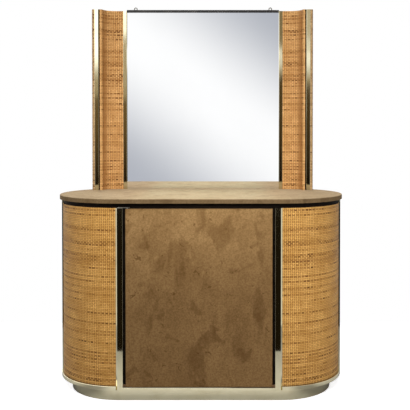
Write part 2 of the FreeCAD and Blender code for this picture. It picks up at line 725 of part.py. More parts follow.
def make_wing_core():
    """The wing's wooden core, returned with the blank that its outer cane edge is cut by."""
    core_outer = f"({WING_OUTER} - dims.skin_thick)"
    corners = [
        (MIRROR_BOARD_HALF, STILE_FRONT),
        (core_outer, STILE_FRONT),
        (core_outer, WING_BACK_SIDE),
        (f"{WING_OUTER} - dims.wing_back_cut_width", BOARD_BACK),
        (MIRROR_BOARD_HALF, BOARD_BACK),
    ]
    blank = prism("wing_blank", corners, TABLE, WING_HEIGHT)
    soft = rounded("wing_rounded", blank, corners[1], "dims.wing_edge_round - dims.skin_thick")
    scoop = cove_hollow("wing_scoop", COVE_BACKING, f"({COVE_FLAT} + dims.skin_thick)")
    scooped = cut("wing_scooped", soft, scoop)
    lip = f"({COVE_X} + sqrt({COVE_BACKING} ^ 2 - dims.skin_thick ^ 2))"
    core = rounded("wing_core_right", scooped, (lip, STILE_FRONT), "dims.wing_nose_round - dims.skin_thick")
    return node(core, "wing_core_right"), soft


def make_wings():
    """The cove-faced wings: core, cane cove with its nose, brass strips and the cane outer edge."""
    height = WING_HEIGHT
    core, soft_blank = make_wing_core()
    cove_block = block(
        "wing_cove_block",
        (INNER_STRIP_EDGE, WING_FRONT, TABLE),
        (
            f"{NOSE_OUTER} - {INNER_STRIP_EDGE}",
            f"{COVE_FLAT} + dims.skin_thick - {WING_FRONT}",
            height,
        ),
    )
    face = cut("wing_cove_face", cove_block, cove_hollow("wing_hollow", "dims.cove_radius", COVE_FLAT))
    nosed = rounded("wing_cove_nosed", face, (NOSE_INNER, WING_FRONT), "dims.wing_nose_round")
    cove = node(cut("wing_rattan_right", nosed, core), "wing_rattan_right")

    strip_front = f"({COVE_FLAT} - dims.wing_inner_proud)"
    inner_strip = block(
        "wing_strip_inner_right",
        ("dims.mirror_half", strip_front, TABLE),
        ("dims.wing_inner_strip", f"{MIRROR_Y} - {strip_front}", height),
    )
    node(inner_strip, "wing_strip_inner_right")
    outer_strip = block(
        "wing_strip_outer_right",
        (STILE_X, f"{WING_FRONT} - dims.strip_proud", TABLE),
        ("dims.wing_outer_strip", "dims.skin_thick + dims.strip_proud", height),
    )
    node(outer_strip, "wing_strip_outer_right")

    edge_block = block(
        "wing_edge_block",
        (STILE_EDGE, WING_FRONT, TABLE),
        ("dims.wing_edge", f"{WING_BACK_SIDE} - {WING_FRONT}", height),
    )
    edge_round = rounded("wing_edge_soft", edge_block, (WING_OUTER, WING_FRONT), "dims.wing_edge_round")
    edge = node(cut("wing_edge_right", edge_round, soft_blank), "wing_edge_right")

    for piece in (core, cove, inner_strip, outer_strip, edge):
        mirrored(piece, piece.Label.replace("right", "left"))


def wood_screw(name, seat, length, turn):
    """A round-headed screw: its shank runs along the turn from its seat, its head stands out."""
    shank = rod(f"{name}_shank", seat, "dims.screw_radius", length, turn)
    lean = turn.multVec(UP)
    out = [f"{base} - ({axis:.0f}) * dims.screw_head_height" for base, axis in zip(seat, lean)]
    head = rod(f"{name}_head", out, "dims.screw_head_radius", "dims.screw_head_height", turn)
    return fuse(name, head, shank)


def make_hangers():
    """Two hanger plates with eyes above the mirror; returns their screws as drills."""
    eye_z = f"({MIRROR_TOP} + dims.hanger_rise)"
    plate_back = f"({BOARD_BACK} + dims.hanger_thick)"
    plates = []
    screws = []
    for side, sign in (("left", "-"), ("right", "")):
        x = f"({sign}dims.hanger_offset)"
        low = (f"{x} - dims.hanger_eye_radius", BOARD_BACK, f"{MIRROR_TOP} - dims.hanger_drop")
        size = ("2 * dims.hanger_eye_radius", "dims.hanger_thick", "dims.hanger_drop + dims.hanger_rise")
        strap = block(f"hanger_strap_{side}", low, size)
        spot = (x, BOARD_BACK, eye_z)
        eye = rod(f"hanger_eye_{side}", spot, "dims.hanger_eye_radius", "dims.hanger_thick", TO_BACK)
        hole = rod(f"hanger_hole_{side}", spot, "dims.hanger_hole_radius", "dims.hanger_thick", TO_BACK)
        pair = []
        for index, share in enumerate(("0.35", "0.75")):
            seat = (x, plate_back, f"{MIRROR_TOP} - dims.hanger_drop * {share}")
            pair.append(wood_screw(f"hanger_screw_{side}_{index}", seat, "dims.wood_screw_length", TO_FRONT))
        screws += pair
        pierced = cut(f"hanger_pierced_{side}", fuse(f"hanger_blank_{side}", strap, eye), hole)
        plates.append(cut(f"hanger_plate_{side}", pierced, group(f"hanger_drill_{side}", pair)))
    node(group("hanger_plates", plates), "hanger_plates")
    return node(group("hanger_screws", screws), "hanger_screws")


def make_brackets():
    """Two angle brackets that tie the mirror board to the top; returns their screws as drills."""
    x_mid = "dims.bracket_offset"
    leg_back = f"({BOARD_BACK} + dims.bracket_thick)"
    low = (f"{x_mid} - dims.bracket_width / 2", BOARD_BACK, TABLE)
    leg = block("bracket_leg", low, ("dims.bracket_width", "dims.bracket_thick", "dims.bracket_rise"))
    foot_depth = "dims.bracket_thick + dims.bracket_foot"
    foot = block("bracket_foot_bar", low, ("dims.bracket_width", foot_depth, "dims.bracket_thick"))
    foot_y = f"{leg_back} + dims.bracket_foot / 2"
    foot_seat = f"{TABLE} + dims.bracket_thick"
    screws = {"": [], "-": []}
    for sign, made in screws.items():
        side = "left" if sign else "right"
        for index, share in enumerate(("0.45", "0.8")):
            seat = (f"{sign}{x_mid}", leg_back, f"{TABLE} + dims.bracket_rise * {share}")
            name = f"bracket_leg_screw_{side}_{index}"
            made.append(wood_screw(name, seat, "dims.wood_screw_length", TO_FRONT))
        for index, shift in enumerate(("+", "-")):
            x = f"{sign}{x_mid} {shift} dims.bracket_width / 4"
            name = f"bracket_foot_screw_{side}_{index}"
            made.append(wood_screw(name, (x, foot_y, foot_seat), "dims.wood_screw_length", DOWN))
    drill = group("bracket_drill", screws[""])
    bracket = cut("mirror_bracket_right", fuse("bracket_blank", leg, foot), drill)
    node(bracket, "mirror_bracket_right")
    mirrored(bracket, "mirror_bracket_left")
    return node(group("bracket_screws", screws[""] + screws["-"]), "bracket_screws")


def make_back_screws():
    """Screws that hold the back panel to the jambs; returns them as drills."""
    span = f"({INNER_HEIGHT} - 2 * dims.back_screw_margin)"
    screws = []
    for sign in ("", "-"):
        x = f"{sign}({JAMB_INNER} + dims.jamb_thick / 2)"
        for index in range(BACK_SCREW_ROWS):
            z = f"{FLOOR_TOP} + dims.back_screw_margin + {span} * {index} / {BACK_SCREW_ROWS - 1}"
            name = f"back_screw_{'left' if sign else 'right'}_{index}"
            screws.append(wood_screw(name, (x, BACKING_RADIUS, z), "dims.back_screw_length", TO_FRONT))
    return node(group("back_screws", screws), "back_screws")


def build():
    """Make every sub-part; drills come first because the boards are cut by them."""
    drill_low, drill_high = make_hinge_screws()
    pin_drill = make_shelves()
    back_drill = make_back_screws()
    hanger_drill = make_hangers()
    bracket_drill = make_brackets()
    make_plinth()
    make_carcass(drill_low, drill_high, pin_drill, back_drill)
    make_top(bracket_drill)
    make_body_dress()
    make_door()
    make_pivots(drill_low, drill_high)
    make_latch()
    make_mirror(hanger_drill, bracket_drill)
    make_wings()
    doc.recompute()


def check():
    """Stop if any object failed or any sub-part is not a sound solid."""
    for item in doc.Objects:
        if "Invalid" in item.State or "Error" in item.State:
            raise RuntimeError(f"{item.Label} failed: {item.State}")
    for item in nodes:
        if item.Shape.isNull() or not item.Shape.isValid():
            raise RuntimeError(f"{item.Label} has no sound shape")


def write():
    """Write one STEP file for each sub-part."""
    os.makedirs("parts", exist_ok=True)
    for item in nodes:
        item.Shape.exportStep(f"parts/{item.Label}.step")
        print(f"{item.Label}: {len(item.Shape.Solids)} solids, {item.Shape.Volume:.1f} mm3")


build()
check()
write()
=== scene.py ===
"""Dresses the mirror-backed cabinet: woven cane ends and wings, suede door and top, polished brass trim.

Sizes are in metres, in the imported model's own frame: X to the right, Y to the back, Z up.
"""

import json
import logging
import math
from contextlib import contextmanager
from dataclasses import dataclass
from enum import Enum
from typing import Any, Callable, Iterator, Sequence

import bmesh
import bpy
import numpy as np
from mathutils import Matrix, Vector


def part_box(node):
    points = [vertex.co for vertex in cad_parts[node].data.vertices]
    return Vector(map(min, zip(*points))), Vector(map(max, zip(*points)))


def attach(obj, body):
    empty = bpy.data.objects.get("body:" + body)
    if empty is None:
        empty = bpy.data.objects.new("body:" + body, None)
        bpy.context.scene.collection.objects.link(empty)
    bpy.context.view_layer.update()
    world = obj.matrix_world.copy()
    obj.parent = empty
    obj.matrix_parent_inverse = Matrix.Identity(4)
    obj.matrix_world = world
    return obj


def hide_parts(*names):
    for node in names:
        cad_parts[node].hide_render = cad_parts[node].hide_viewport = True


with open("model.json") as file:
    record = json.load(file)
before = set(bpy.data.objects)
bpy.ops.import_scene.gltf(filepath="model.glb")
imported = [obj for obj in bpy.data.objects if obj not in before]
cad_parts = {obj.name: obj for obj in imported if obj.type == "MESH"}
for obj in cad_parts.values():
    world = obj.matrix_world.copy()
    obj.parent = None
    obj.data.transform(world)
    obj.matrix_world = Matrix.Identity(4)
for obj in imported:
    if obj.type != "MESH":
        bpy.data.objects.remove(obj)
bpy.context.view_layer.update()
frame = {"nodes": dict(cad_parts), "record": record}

CANE_MAP = "strands"
# Pitch of the strands along a sheet of cane and up it, and the sheet's thickness
CANE_ACROSS = 0.0089
CANE_UP = 0.0072
CANE_SKIN = 0.0025
# Degrees under which facets of metal are smoothed
FACET = 10.0
# How near counts as touching
NEAR = 1e-6
# Corners round both ends of a loop, and points along an arc
ROUND_STEPS = 192
ARC_POINTS = 120
CABINET = "cabinet"
DOOR = "door"
Colour = tuple[float, float, float]
Piece = bpy.types.Object
Socket = bpy.types.NodeSocket
Material = bpy.types.Material
log = logging.getLogger("cabinet")


class Pick(Enum):
    """What edit mode selects."""

    VERTS = "VERT"
    EDGES = "EDGE"
    FACES = "FACE"


class Side(Enum):
    """The cabinet's two hands."""

    LEFT = "left"
    RIGHT = "right"

    @property
    def sign(self) -> int:
        """The sign of X on this side."""
        return 1 if self is Side.RIGHT else -1


class Grain(Enum):
    """The axis that a board's grain runs along."""

    X = (1.0, 14.0, 14.0)
    Y = (14.0, 1.0, 14.0)
    Z = (14.0, 14.0, 1.0)


# Modelling


def focus(piece: Piece | None = None) -> None:
    """Select one piece, or nothing, in object mode.

    Args:
        piece: The object to select and make active.
    """
    if bpy.context.object and bpy.context.object.mode != "OBJECT":
        bpy.ops.object.mode_set(mode="OBJECT")
    bpy.ops.object.select_all(action="DESELECT")
    if piece:
        piece.select_set(True)
        bpy.context.view_layer.objects.active = piece


@contextmanager
def editing(piece: Piece, pick: Pick, whole: bool = False) -> Iterator[bmesh.types.BMesh]:
    """Open a piece in edit mode.

    Args:
        piece: The object to open.
        pick: What is selected there.
        whole: Whether all of it starts selected, or nothing.

    Returns:
        The open mesh, for the time of the with block.
    """
    focus(piece)
    bpy.ops.object.mode_set(mode="EDIT")
    bpy.ops.mesh.select_mode(type=pick.value)
    bpy.ops.mesh.select_all(action="SELECT" if whole else "DESELECT")
    yield bmesh.from_edit_mesh(piece.data)
    bpy.ops.object.mode_set(mode="OBJECT")


def choose(piece: Piece, items: Any, rule: Callable[[Any], bool]) -> None:
    """Select the parts of an open mesh that answer a rule.

    Args:
        piece: The object that is open in edit mode.
        items: The mesh's verts, edges or faces.
        rule: Says whether one of them is selected.
    """
    for item in items:
        item.select_set(bool(rule(item)))
    bmesh.update_edit_mesh(piece.data)


def middle(edge: bmesh.types.BMEdge) -> Vector:
    """The point halfway along an edge."""
    return (edge.verts[0].co + edge.verts[1].co) / 2


def runs_up(edge: bmesh.types.BMEdge) -> bool:
    """Whether an edge is upright."""
    return abs((edge.verts[1].co - edge.verts[0].co).normalized().z) > 0.9


def is_cap(face: bmesh.types.BMFace) -> bool:
    """Whether a face is the flat end of something round."""
    return len(face.verts) > 4


def name_new(name: str) -> Piece:
    """Name the object just added, with its place moved into its mesh.

    Args:
        name: The piece's name.

    Returns:
        The new object.
    """
    piece = bpy.context.object
    piece.name = piece.data.name = name
    bpy.ops.object.transform_apply(location=True, rotation=True, scale=True)
    return piece


def bar(name: str, low: Sequence[float], high: Sequence[float]) -> Piece:
    """A squared bar between two corners.

    Args:
        name: The piece's name.
        low: Its lowest corner.
        high: Its highest corner.

    Returns:
        The new object.
    """
    low, high = Vector(low), Vector(high)
    focus()
    bpy.ops.mesh.primitive_cube_add(size=1.0, location=(low + high) / 2, scale=high - low)
    return name_new(name)


def soften(
    piece: Piece,
    rule: Callable[[bmesh.types.BMEdge], bool],
    width: float,
    segments: int = 3,
) -> None:
    """Bevel the edges that answer a rule.

    Args:
        piece: The object to bevel.
        rule: Says whether an edge is bevelled.
        width: The bevel's width.
        segments: How many faces round it off.
    """
    with editing(piece, Pick.EDGES) as mesh:
        choose(piece, mesh.edges, rule)
        bpy.ops.mesh.bevel(offset=width, segments=segments, profile=0.5, affect="EDGES")


def close_up(piece: Piece) -> None:
    """Merge doubles and turn all faces outwards."""
    with editing(piece, Pick.VERTS, whole=True):
        bpy.ops.mesh.remove_doubles(threshold=NEAR)
        bpy.ops.mesh.normals_make_consistent(inside=False)


def wall(piece: Piece, thick: float) -> None:
    """Give an open shell its thickness, inwards from its outer face."""
    focus(piece)
    solid = piece.modifiers.new("wall", "SOLIDIFY")
    solid.thickness = thick
    solid.offset = -1.0
    solid.use_even_offset = True
    bpy.ops.object.modifier_apply(modifier=solid.name)


def shade(piece: Piece, angle: float = 35.0) -> None:
    """Smooth the faces that meet at less than an angle in degrees."""
    focus(piece)
    bpy.ops.object.shade_smooth_by_angle(angle=math.radians(angle))


def stadium(name: str, radius: float, half_flat: float, level: float) -> Piece:
    """A flat round-ended loop, from a circle whose halves are drawn apart.

    Args:
        name: The piece's name.
        radius: The radius of the ends.
        half_flat: Half the length of the straight sides.
        level: The loop's height.

    Returns:
        The new object, one face.
    """
    focus()
    bpy.ops.mesh.primitive_circle_add(
        vertices=ROUND_STEPS,
        radius=radius,
        fill_type="NGON",
        location=(0, 0, level),
        rotation=(0, 0, math.pi / ROUND_STEPS),
    )
    piece = name_new(name)
    for sign in (-1, 1):
        with editing(piece, Pick.VERTS) as mesh:
            choose(piece, mesh.verts, lambda vert: vert.co.x * sign > 0)
            bpy.ops.transform.translate(value=(sign * half_flat, 0, 0))
    return piece


def raise_up(piece: Piece, height: float) -> None:
    """Extrude a flat face upwards.

    Args:
        piece: The object, one face.
        height: How far it is raised.
    """
    with editing(piece, Pick.FACES, whole=True):
        bpy.ops.mesh.extrude_region_move(TRANSFORM_OT_translate={"value": (0, 0, height)})


def points_of(piece: Piece) -> np.ndarray:
    """The places of a mesh's points, one row each."""
    flat = np.empty(len(piece.data.vertices) * 3)
    piece.data.vertices.foreach_get("co", flat)
    return flat.reshape(-1, 3)


def move_points(piece: Piece, rule: Callable[[np.ndarray], np.ndarray]) -> None:
    """Move all of a mesh's points.

    Args:
        piece: The object to shape.
        rule: Takes the points' places and returns the new ones.
    """
    piece.data.vertices.foreach_set("co", rule(points_of(piece)).ravel())
    piece.data.update()


@dataclass(frozen=True)
class Route:
    """A plan line that a flat sheet is laid along, with the sheet's face on the line's right."""

    points: np.ndarray

    @classmethod
    def joined(cls, *spans: np.ndarray) -> "Route":
        """A route through several spans, end to end."""
        return cls(np.vstack(spans))

    @staticmethod
    def arc(centre: tuple[float, float], radius: float, start: float, end: float) -> np.ndarray:
        """Points of an arc.

        Args:
            centre: The arc's centre in plan.
            radius: Its radius.
            start: The angle it starts at, in radians from +X.
            end: The angle it ends at.

        Returns:
            The points, one row each.
        """
        turn = np.linspace(start, end, ARC_POINTS)
        return np.column_stack((centre[0] + radius * np.cos(turn), centre[1] + radius * np.sin(turn)))

    def mirrored(self) -> "Route":
        """The same line on the other side of the cabinet."""
        return Route(self.points[::-1] * (-1.0, 1.0))

    @property
    def stations(self) -> np.ndarray:
        """How far along the line each point is."""
        steps = np.linalg.norm(np.diff(self.points, axis=0), axis=1)
        return np.concatenate(([0.0], np.cumsum(steps)))

    @property
    def length(self) -> float:
        """The line's length."""
        return float(self.stations[-1])

    def place(self, along: np.ndarray, out: np.ndarray) -> np.ndarray:
        """Places in plan.

        Args:
            along: Distances along the line.
            out: Distances to its right.

        Returns:
            The places, one row each.
        """
        kept = np.concatenate(([True], np.diff(self.stations) > 1e-7))
        stations, points = self.stations[kept], self.points[kept]
        heading = np.gradient(points, stations, axis=0)
        spot = np.column_stack([np.interp(along, stations, points[:, axis]) for axis in (0, 1)])
        tangent = np.column_stack([np.interp(along, stations, heading[:, axis]) for axis in (0, 1)])
        tangent /= np.linalg.norm(tangent, axis=1)[:, None]
        right = np.column_stack((tangent[:, 1], -tangent[:, 0]))
        return spot + right * out[:, None]


# Finishes


class NodeSheet:
    """A node tree, with short calls for the nodes that the finishes share."""

    def __init__(self, tree: bpy.types.NodeTree) -> None:
        """Start on a tree.

        Args:
            tree: The tree of a material or a world.
        """
        self.tree = tree

    def add(self, kind: str, **settings: Any) -> bpy.types.Node:
        """Add a node and set its properties."""
        node = self.tree.nodes.new(f"ShaderNode{kind}")
        for key, value in settings.items():
            setattr(node, key, value)
        return node

    def feed(self, socket: Socket, value: Any) -> None:
        """Link a socket, or set it where the value is a number or a colour.

        Args:
            socket: The input to fill.
            value: An output socket, a number, a vector or a colour.
        """
        if isinstance(value, Socket):
            self.tree.links.new(value, socket)
        elif socket.type == "RGBA":
            socket.default_value = (*value, 1.0)
        else:
            socket.default_value = value

    def math(self, operation: str, *values: Any) -> Socket:
        """A sum of one or two numbers."""
        node = self.add("Math", operation=operation)
        for socket, value in zip(node.inputs, values):
            self.feed(socket, value)
        return node.outputs[0]

    def times(self, first: Any, second: Any) -> Socket:
        """The product of two numbers."""
        return self.math("MULTIPLY", first, second)

    def parts(self, vector: Socket) -> bpy.types.bpy_prop_collection:
        """A vector's X, Y and Z."""
        node = self.add("SeparateXYZ")
        self.feed(node.inputs[0], vector)
        return node.outputs

    def vector(self, *values: Any) -> Socket:
        """A vector of three values."""
        node = self.add("CombineXYZ")
        for socket, value in zip(node.inputs, values):
            self.feed(socket, value)
        return node.outputs[0]

    def object_space(self, stretch: Sequence[float] = (1, 1, 1), turn: float = 0.0) -> Socket:
        """The piece's own coordinates.

        Args:
            stretch: A factor for each axis.
            turn: A turn about Y, in radians.

        Returns:
            The vector.
        """
        node = self.add("Mapping")
        node.inputs["Scale"].default_value = stretch
        node.inputs["Rotation"].default_value = (0.0, turn, 0.0)
        self.feed(node.inputs["Vector"], self.add("TexCoord").outputs["Object"])
        return node.outputs[0]

    def noise(
        self, vector: Any, scale: float, detail: float = 3.0, bend: float = 0.0
    ) -> Socket:
        """Soft noise from 0 to 1.

        Args:
            vector: Where it is read.
            scale: How fine it is.
            detail: How many finer layers it has.
            bend: How much it is distorted.

        Returns:
            The value.
        """
        node = self.add("TexNoise")
        for key, value in {"Vector": vector, "Scale": scale, "Detail": detail, "Distortion": bend}.items():
            self.feed(node.inputs[key], value)
        return node.outputs[0]

    def chance(self, value: Any) -> Socket:
        """A number from 0 to 1 that is drawn once for each whole value."""
        node = self.add("TexWhiteNoise", noise_dimensions="1D")
        self.feed(node.inputs["W"], value)
        return node.outputs["Value"]

    def span(
        self, value: Any, low: float, high: float, first: float = 0.0, last: float = 1.0
    ) -> Socket:
        """Carry a value smoothly from one range to another.

        Args:
            value: The value.
            low: Where the range starts.
            high: Where it ends.
            first: The result at low.
            last: The result at high.

        Returns:
            The result.
        """
        node = self.add("MapRange", interpolation_type="SMOOTHSTEP")
        for socket, item in zip(node.inputs, (value, low, high, first, last)):
            self.feed(socket, item)
        return node.outputs[0]

    def choice(self, value: Any, limit: float, below: Any, above: Any) -> Socket:
        """One number up to a limit of a value, and another number past it.

        Args:
            value: The value.
            limit: Where the choice turns.
            below: The number below the limit.
            above: The number above it.

        Returns:
            The chosen number.
        """
        node = self.add("Mix", data_type="FLOAT")
        past = self.math("GREATER_THAN", value, limit)
        for socket, item in zip(node.inputs[:1] + node.inputs[2:4], (past, below, above)):
            self.feed(socket, item)
        return node.outputs[0]

    def mix(self, share: Any, first: Any, second: Any, blend: str = "MIX") -> Socket:
        """A mix of two colours.

        Args:
            share: How much of the second is in it.
            first: One colour.
            second: The other colour.
            blend: How they are mixed.

        Returns:
            The colour.
        """
        node = self.add("Mix", data_type="RGBA", blend_type=blend)
        self.feed(node.inputs[0], share)
        self.feed(node.inputs[6], first)
        self.feed(node.inputs[7], second)
        return node.outputs[2]


class MaterialSheet(NodeSheet):
    """A new material's nodes, around its shader."""

    def __init__(self, name: str) -> None:
        """Start a material with a shader and nothing else.

        Args:
            name: The material's name.
        """
        self.material = bpy.data.materials.new(name)
        self.material.use_nodes = True
        super().__init__(self.material.node_tree)
        self.shader = next(node for node in self.tree.nodes if node.type == "BSDF_PRINCIPLED")

    def set(self, **values: Any) -> None:
        """Fill the shader's sockets, with _ in a name for a space."""
        for key, value in values.items():
            self.feed(self.shader.inputs[key.replace("_", " ")], value)

    def bump(self, height: Any, distance: float) -> None:
        """Roughen the surface by a height."""
        node = self.add("Bump")
        node.inputs["Distance"].default_value = distance
        self.feed(node.inputs["Height"], height)
        self.set(Normal=node.outputs[0])


@dataclass(frozen=True)
class Cane:
    """Plain-woven rattan: broad upright strands, crossed by a weft with some rows stained dark, with
    painted shade where strands meet, painted shade in the wings' cove fold and a painted highlight on the
    nose past it.
    """

    name: str
    straw: Colour
    tan: Colour
    rust: Colour
    stain: Colour
    # Distances in X from the middle where the painted shade of the wings' cove fold starts, is full and
    # ends; just past its end lies a painted highlight on the nose
    fold_shade: tuple[float, float, float] = (2.0, 3.0, 4.0)
    fold_edge: float = 0.003

    def make(self) -> Material:
        """The finish's material."""
        look = MaterialSheet(self.name)
        u, v, _ = look.parts(look.add("UVMap", uv_map=CANE_MAP).outputs[0])
        column, row = look.math("DIVIDE", u, CANE_ACROSS), look.math("DIVIDE", v, CANE_UP)
        whole_column, whole_row = look.math("FLOOR", column), look.math("FLOOR", row)
        pair = look.math("DIVIDE", look.math("SUBTRACT", look.math("ADD", column, whole_row), 0.5), 2.0)
        off_dash = look.math("ABSOLUTE", look.math("SUBTRACT", look.math("FRACT", pair), 0.5))
        beside = look.math("ABSOLUTE", look.math("SUBTRACT", look.math("FRACT", column), 0.5))
        above = look.math("ABSOLUTE", look.math("SUBTRACT", look.math("FRACT", row), 0.5))
        along = look.vector(look.times(u, 10.0), look.times(whole_row, 1.37))
        drift = look.noise(along, 1.0, 2.0)
        row_seed = look.times(whole_row, 57.31)
        cell = look.chance(look.math("ADD", look.math("FLOOR", pair), row_seed))
        row_tone = look.chance(whole_row)
        mottle = look.noise(look.vector(u, v), 14.0, 4.0)
        upright = look.noise(look.vector(whole_column, look.times(v, 22.0)), 1.0, 2.0)
        slow = look.vector(look.times(u, 3.2), look.times(whole_row, 0.71))
        sweep = look.noise(slow, 1.0, 2.0)

        pale = look.mix(look.span(upright, 0.3, 0.7, 0.0, 0.75), self.straw, self.tan)
        dash = look.math("ADD", look.times(row_tone, 0.45), look.times(cell, 0.35))
        weft = look.mix(look.math("ADD", dash, 0.35), self.straw, self.tan)
        stained = look.times(look.span(row_tone, 0.5, 0.8), look.span(drift, 0.36, 0.52))
        stained = look.times(stained, look.span(cell, 0.1, 0.7, 0.3, 1.0))
        weft = look.mix(stained, weft, self.stain)
        dash_end = look.span(off_dash, 0.28, 0.44, 1.0, 0.12)
        seen = look.times(dash_end, look.span(above, 0.32, 0.5, 1.0, 0.0))
        strand = look.mix(seen, pale, weft)
        dark_row = look.span(row_tone, 0.3, 0.95, 0.0, 0.45)
        banded = look.times(dark_row, look.span(sweep, 0.34, 0.6))
        strand = look.mix(banded, strand, self.rust)
        strand = look.mix(look.span(mottle, 0.38, 0.68, 0.0, 0.6), strand, self.tan)
        # Painted shade where the strands meet and dip under each other, mixed towards the stain colour
        depth = look.times(look.span(beside, 0.12, 0.42), look.span(above, 0.16, 0.46))
        strand = look.mix(depth, strand, self.stain)
        # Painted shade in the wings' cove fold, mixed towards rust by distance in X from the middle
        start, full, end = self.fold_shade
        side = look.math("ABSOLUTE", look.parts(look.object_space())[0])
        ends = look.span(side, end - self.fold_edge, end, 0.5, 0.0)
        painted_fold_shade = look.times(look.span(side, start, full), ends)
        strand = look.mix(painted_fold_shade, strand, self.rust)
        # A painted highlight on the nose, just past the painted shade of the fold
        strand = look.mix(look.span(side, end, end + self.fold_edge, 0.0, 0.2), strand, self.straw)
        look.set(Base_Color=strand, Roughness=look.span(drift, 0.2, 0.8, 0.45, 0.62))
        look.set(Specular_IOR_Level=0.25)
        look.bump(look.noise(look.vector(look.times(u, 8.0), v), 240.0, 2.0), 0.0002)
        return look.material


@dataclass(frozen=True)
class Suede:
    """Brushed suede: soft smudges where the nap lies another way, over a fine grain, with painted shade
    multiplied in towards the bottom.
    """

    name: str
    dark: Colour
    mid: Colour
    light: Colour
    # The tint multiplied in as painted shade towards the bottom
    foot: Colour
    smudge: float
    painted_shade_span: tuple[float, float, float]

    def make(self) -> Material:
        """The finish's material."""
        look = MaterialSheet(self.name)
        space = look.object_space()
        broad = look.noise(space, self.smudge, 4.0, 0.7)
        strokes = look.noise(look.object_space((2.4, 2.4, 0.9), 0.5), self.smudge * 1.1, 5.0, 0.5)
        blots = look.noise(space, self.smudge * 2.2, 4.0, 0.5)
        specks = look.noise(space, self.smudge * 8.0, 2.0, 1.0)
        scuffs = look.noise(look.object_space((2.6, 2.6, 1.0), -0.6), self.smudge * 1.6, 6.0, 1.4)
        grain = look.noise(space, 160.0, 3.0)
        nap = look.noise(space, 900.0, 2.0)
        body = look.mix(look.span(broad, 0.3, 0.7), self.mid, self.light)
        marks = (
            (scuffs, 0.56, 0.66, 0.6, self.light),
            (strokes, 0.55, 0.66, 0.42, self.dark),
            (blots, 0.58, 0.66, 0.42, self.dark),
            (specks, 0.66, 0.72, 0.7, self.dark),
            (grain, 0.32, 0.68, 0.42, self.dark),
            (nap, 0.3, 0.75, 0.25, self.dark),
        )
        for mark, faint, strong, share, tint in marks:
            body = look.mix(look.span(mark, faint, strong, 0.0, share), body, tint)
        # Painted shade: below a height the colour is multiplied by the foot tint, darker towards the bottom
        low, high, share = self.painted_shade_span
        body = look.mix(look.span(look.parts(space)[2], low, high, share, 0.0), body, self.foot, "MULTIPLY")
        look.set(Base_Color=body, Roughness=look.span(nap, 0.2, 0.8, 0.82, 0.98))
        look.set(Specular_IOR_Level=0.15, Sheen_Weight=0.25, Sheen_Roughness=0.45, Sheen_Tint=self.light)
        look.bump(look.math("ADD", nap, look.times(broad, 2.0)), 0.0004)
        return look.material


@dataclass(frozen=True)
class Metal:
    """Metal with faint tarnish and fine wipe marks."""

    name: str
    bright: Colour
    dull: Colour
    smooth: float
    rough: float

    def make(self) -> Material:
        """The finish's material."""
        look = MaterialSheet(self.name)
        tarnish = look.noise(look.object_space(), 14.0, 5.0, 0.4)
        wipes = look.noise(look.object_space((60.0, 60.0, 4.0)), 6.0, 2.0)
        look.set(Base_Color=look.mix(look.span(tarnish, 0.35, 0.75), self.bright, self.dull), Metallic=1.0)
        look.set(Roughness=look.span(look.math("ADD", tarnish, wipes), 0.6, 1.4, self.smooth, self.rough))
        return look.material


@dataclass(frozen=True)
class Wood:
    """Veneered board with its grain along one axis."""

    name: str
    pale: Colour
    dark: Colour
    grain: Grain
    gloss: float = 0.45
    shine: float = 0.5

    def make(self) -> Material:
        """The finish's material."""
        look = MaterialSheet(self.name)
        space = look.object_space(self.grain.value)
        figure = look.noise(space, 2.2, 5.0, 1.2)
        pores = look.noise(space, 34.0, 2.0)
        tint = look.mix(look.span(figure, 0.3, 0.7), self.pale, self.dark)
        tint = look.mix(look.span(pores, 0.52, 0.75, 0.0, 0.6), tint, self.dark)
        look.set(Base_Color=tint, Roughness=look.span(pores, 0.3, 0.8, self.gloss, self.gloss + 0.2))
        look.set(Specular_IOR_Level=self.shine)
        look.bump(pores, 0.0002)
        return look.material


@dataclass(frozen=True)
class Coated:
    """A smooth coat or moulding: paint, plastic."""

    name: str
    fresh: Colour
    worn: Colour
    smooth: float
    rough: float
    grain: float = 300.0

    def make(self) -> Material:
        """The finish's material."""
        look = MaterialSheet(self.name)
        rub = look.noise(look.object_space(), 18.0, 4.0)
        pits = look.noise(look.object_space(), self.grain, 2.0)
        look.set(Base_Color=look.mix(look.span(rub, 0.4, 0.75), self.fresh, self.worn))
        look.set(Roughness=look.span(pits, 0.3, 0.7, self.smooth, self.rough))
        look.bump(pits, 0.0001)
        return look.material


@dataclass(frozen=True)
class Silvering:
    """Mirror glass: a clear silver face with the faintest cloud of age."""

    name: str
    clear: Colour
    cloudy: Colour

    def make(self) -> Material:
        """The finish's material."""
        look = MaterialSheet(self.name)
        cloud = look.noise(look.object_space(), 3.0, 4.0)
        look.set(Base_Color=look.mix(look.span(cloud, 0.4, 0.8), self.clear, self.cloudy), Metallic=1.0)
        look.set(Roughness=look.span(cloud, 0.45, 0.9, 0.0, 0.015))
        return look.material


